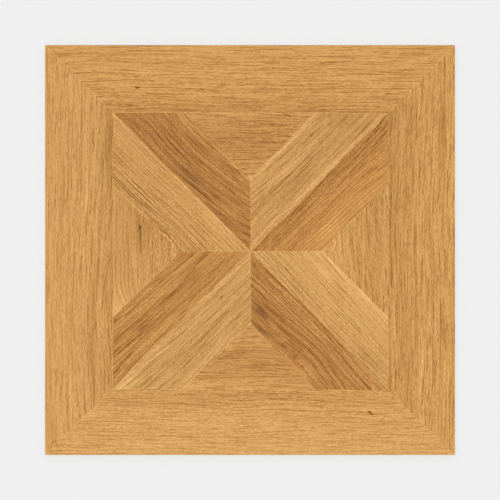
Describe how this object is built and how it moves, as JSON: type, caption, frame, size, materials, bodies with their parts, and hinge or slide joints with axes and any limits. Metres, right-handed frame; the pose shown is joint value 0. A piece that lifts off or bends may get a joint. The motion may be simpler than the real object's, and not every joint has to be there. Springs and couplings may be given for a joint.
{
  "type": "wood-look porcelain tile",
  "caption": "Square rectified porcelain floor tile, face printed as an oak parquet panel with mitred frame and diagonal cross, back pressed with key pockets for adhesive.",
  "frame": {"origin": "centre of the bedding plane, the plane of the rib tops on the back", "axes": "+Z out of the printed face, +X and +Y along the sides, +Y towards the top of the picture"},
  "size_m": [0.6, 0.6, 0.01],
  "materials": {
    "printed_porcelain": "matt glaze over an oak parquet print; pale beige fired body on the sides and back"
  },
  "bodies": {
    "root": {"porcelain_tile": "printed_porcelain"}
  },
  "joints": []
}
